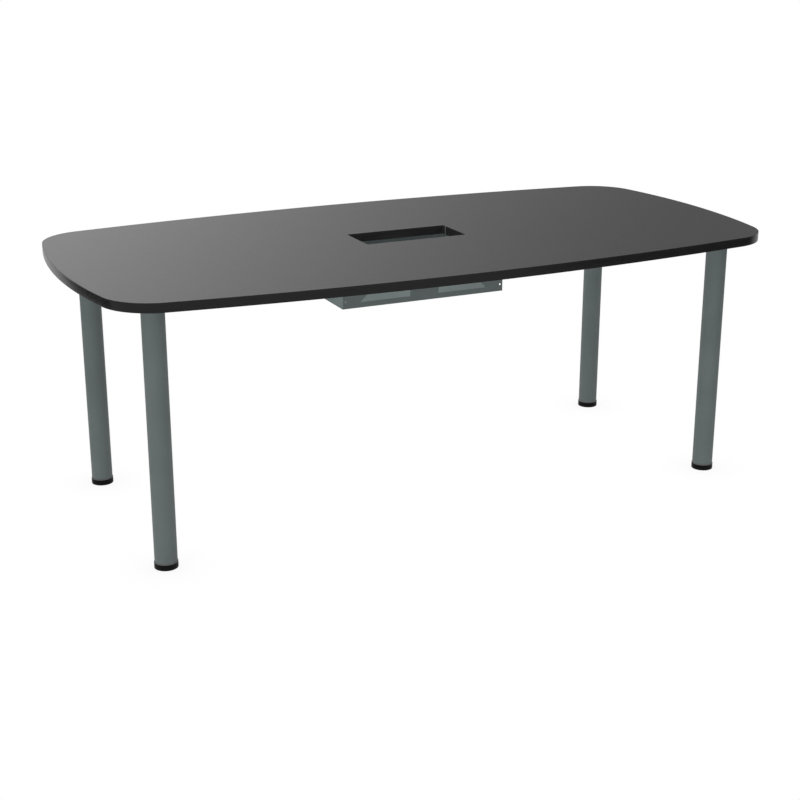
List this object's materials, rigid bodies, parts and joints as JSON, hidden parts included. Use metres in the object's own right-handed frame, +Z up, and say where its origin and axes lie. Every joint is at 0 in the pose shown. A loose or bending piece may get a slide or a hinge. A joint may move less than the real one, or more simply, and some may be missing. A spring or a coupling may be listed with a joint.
{
  "type": "conference table",
  "caption": "Barrel-shaped conference table: a dark board with a cable cut-out on round steel legs with screw-in levelling feet, and a folded cable tray under the cut-out.",
  "frame": {"origin": "on the floor, under the middle of the board", "axes": "+X along the table, +Y to the back, +Z up"},
  "size_m": [2, 1, 0.735],
  "materials": {
    "board_black": "black melamine facing on a wood board, satin",
    "edge_black": "black edge band, satin",
    "coated_grey": "grey-green powder coat, satin",
    "foot_black": "black moulded plastic, matte",
    "zinc_steel": "bright zinc plating"
  },
  "bodies": {
    "table": {"tabletop_panel": "board_black", "perimeter_edge_band": "edge_black", "cutout_edge_band": "edge_black", "cable_tray": "coated_grey", "front_left_leg_tube": "coated_grey", "front_right_leg_tube": "coated_grey", "back_left_leg_tube": "coated_grey", "back_right_leg_tube": "coated_grey", "front_left_leg_plate": "coated_grey", "front_right_leg_plate": "coated_grey", "back_left_leg_plate": "coated_grey", "back_right_leg_plate": "coated_grey", "leg_plugs": "foot_black"},
    "front_left_spindle": {"front_left_foot_spindle": "zinc_steel"},
    "front_left_pad": {"front_left_foot_pad": "foot_black"},
    "front_right_spindle": {"front_right_foot_spindle": "zinc_steel"},
    "front_right_pad": {"front_right_foot_pad": "foot_black"},
    "back_left_spindle": {"back_left_foot_spindle": "zinc_steel"},
    "back_left_pad": {"back_left_foot_pad": "foot_black"},
    "back_right_spindle": {"back_right_foot_spindle": "zinc_steel"},
    "back_right_pad": {"back_right_foot_pad": "foot_black"}
  },
  "joints": [
    {"name": "front_left_foot_travel", "type": "slide", "parent": "table", "child": "front_left_spindle", "axis": [0, 0, -1], "range_m": [0, 0.015]},
    {"name": "front_left_foot_turn", "type": "hinge", "parent": "front_left_spindle", "child": "front_left_pad", "pos_m": [-0.844, -0.328, 0], "axis": [0, 0, -1], "range_deg": [0, 4320]},
    {"name": "front_right_foot_travel", "type": "slide", "parent": "table", "child": "front_right_spindle", "axis": [0, 0, -1], "range_m": [0, 0.015]},
    {"name": "front_right_foot_turn", "type": "hinge", "parent": "front_right_spindle", "child": "front_right_pad", "pos_m": [0.844, -0.328, 0], "axis": [0, 0, -1], "range_deg": [0, 4320]},
    {"name": "back_left_foot_travel", "type": "slide", "parent": "table", "child": "back_left_spindle", "axis": [0, 0, -1], "range_m": [0, 0.015]},
    {"name": "back_left_foot_turn", "type": "hinge", "parent": "back_left_spindle", "child": "back_left_pad", "pos_m": [-0.844, 0.328, 0], "axis": [0, 0, -1], "range_deg": [0, 4320]},
    {"name": "back_right_foot_travel", "type": "slide", "parent": "table", "child": "back_right_spindle", "axis": [0, 0, -1], "range_m": [0, 0.015]},
    {"name": "back_right_foot_turn", "type": "hinge", "parent": "back_right_spindle", "child": "back_right_pad", "pos_m": [0.844, 0.328, 0], "axis": [0, 0, -1], "range_deg": [0, 4320]}
  ],
  "couplings": [
    {"joint": "front_left_foot_travel", "follows": "front_left_foot_turn", "m_per_rad": 0.00019894},
    {"joint": "front_right_foot_travel", "follows": "front_right_foot_turn", "m_per_rad": 0.00019894},
    {"joint": "back_left_foot_travel", "follows": "back_left_foot_turn", "m_per_rad": 0.00019894},
    {"joint": "back_right_foot_travel", "follows": "back_right_foot_turn", "m_per_rad": 0.00019894}
  ]
}
